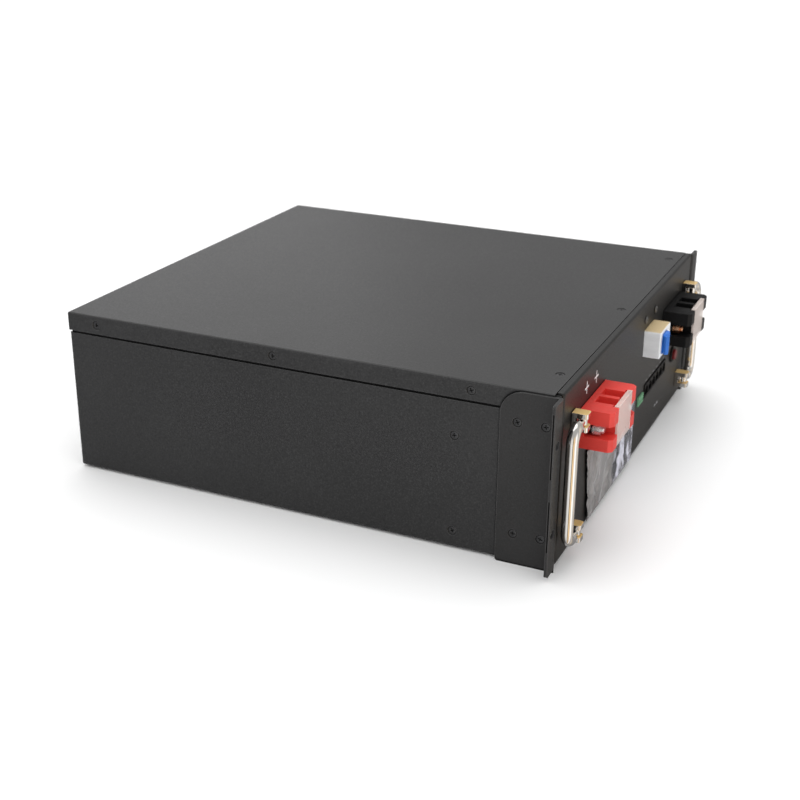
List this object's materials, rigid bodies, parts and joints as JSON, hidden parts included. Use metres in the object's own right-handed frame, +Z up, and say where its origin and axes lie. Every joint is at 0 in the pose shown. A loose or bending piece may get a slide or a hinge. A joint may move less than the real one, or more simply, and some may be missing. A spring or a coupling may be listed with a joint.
{
  "type": "rack-mount battery pack",
  "caption": "Flat rack-mount battery module: black steel case with rack ears, folding chrome handles, red and black power terminals, breaker, screen and sockets.",
  "frame": {"origin": "centre of the flat underside of the chassis body, between the side walls and between the front panel and the back", "axes": "+Z up, -Y towards the front panel, +X towards the right-hand side of the front panel as its user faces it"},
  "size_m": [0.4826, 0.5036, 0.1561],
  "materials": {
    "coat": "fine-texture dark charcoal powder coat",
    "panel_coat": "fine-texture dark charcoal powder coat",
    "black_screw": "black oxide",
    "zinc": "bright zinc plate",
    "chrome": "polished chrome plate",
    "copper": "bare copper",
    "red_plastic": "moulded, satin",
    "black_plastic": "moulded, satin",
    "clear_cover": "milky clear",
    "grey_plastic": "moulded, satin",
    "blue_plastic": "moulded, semi-gloss",
    "green_plastic": "moulded, satin",
    "screen": "tinted acrylic",
    "film": "thin peel-off film",
    "carrier_plastic": "moulded, matt",
    "board": "solder-masked circuit board",
    "alloy": "mill finish",
    "cell_can": "blue shrink wrap over aluminium"
  },
  "bodies": {
    "enclosure": {"chassis_tray": "coat", "top_lid": "coat", "front_panel": "panel_coat", "ear_left": "coat", "ear_right": "coat", "ear_screws_left": "black_screw", "ear_screws_right": "black_screw", "lid_screws_left": "black_screw", "lid_screws_right": "black_screw", "lid_screws_front": "black_screw", "wall_screws_left": "black_screw", "wall_screws_right": "black_screw", "breaker_screws": "zinc", "handle_base_left_upper": "chrome", "handle_base_left_lower": "chrome", "handle_base_right_upper": "chrome", "handle_base_right_lower": "chrome", "positive_block": "red_plastic", "negative_block": "black_plastic", "positive_studs": "zinc", "negative_studs": "copper", "breaker_body": "grey_plastic", "power_bezel": "black_plastic", "port_block": "black_plastic", "contact_socket": "green_plastic", "display_window": "screen", "display_film": "film", "link_carrier_front": "carrier_plastic", "link_carrier_rear": "carrier_plastic", "row_link_bar": "copper", "positive_lead": "copper", "negative_lead": "copper", "output_lead": "copper", "cell_partition": "alloy", "bms_board": "board", "bms_heat_sink": "alloy", "rear_spacer": "black_plastic", "cell_01": "cell_can", "cell_02": "cell_can", "cell_03": "cell_can", "cell_04": "cell_can", "cell_05": "cell_can", "cell_06": "cell_can", "cell_07": "cell_can", "cell_08": "cell_can", "cell_09": "cell_can", "cell_10": "cell_can", "cell_11": "cell_can", "cell_12": "cell_can", "cell_13": "cell_can", "cell_14": "cell_can", "cell_15": "cell_can", "cell_16": "cell_can"},
    "left_handle": {"handle_left": "chrome"},
    "right_handle": {"handle_right": "chrome"},
    "positive_flap": {"positive_cover": "clear_cover"},
    "negative_flap": {"negative_cover": "clear_cover"},
    "toggle": {"breaker_toggle": "blue_plastic"},
    "power_cap": {"power_button": "red_plastic"}
  },
  "joints": [
    {"name": "left_handle_fold", "type": "hinge", "parent": "enclosure", "child": "left_handle", "pos_m": [-0.191, -0.2455, 0.073], "axis": [0, 0, 1], "range_deg": [0, 90]},
    {"name": "right_handle_fold", "type": "hinge", "parent": "enclosure", "child": "right_handle", "pos_m": [0.191, -0.2455, 0.073], "axis": [0, 0, -1], "range_deg": [0, 90]},
    {"name": "positive_cover_flip", "type": "hinge", "parent": "enclosure", "child": "positive_flap", "pos_m": [-0.135, -0.2634, 0.1228], "axis": [-1, 0, 0], "range_deg": [0, 110]},
    {"name": "negative_cover_flip", "type": "hinge", "parent": "enclosure", "child": "negative_flap", "pos_m": [0.141, -0.2634, 0.1228], "axis": [-1, 0, 0], "range_deg": [0, 110]},
    {"name": "breaker_switch", "type": "hinge", "parent": "enclosure", "child": "toggle", "pos_m": [0.0475, -0.249, 0.1135], "axis": [0, 0, 1], "range_deg": [0, 90]},
    {"name": "power_press", "type": "slide", "parent": "enclosure", "child": "power_cap", "axis": [0, 1, 0], "range_m": [0, 0.0025], "stiffness_N_per_m": 400}
  ]
}
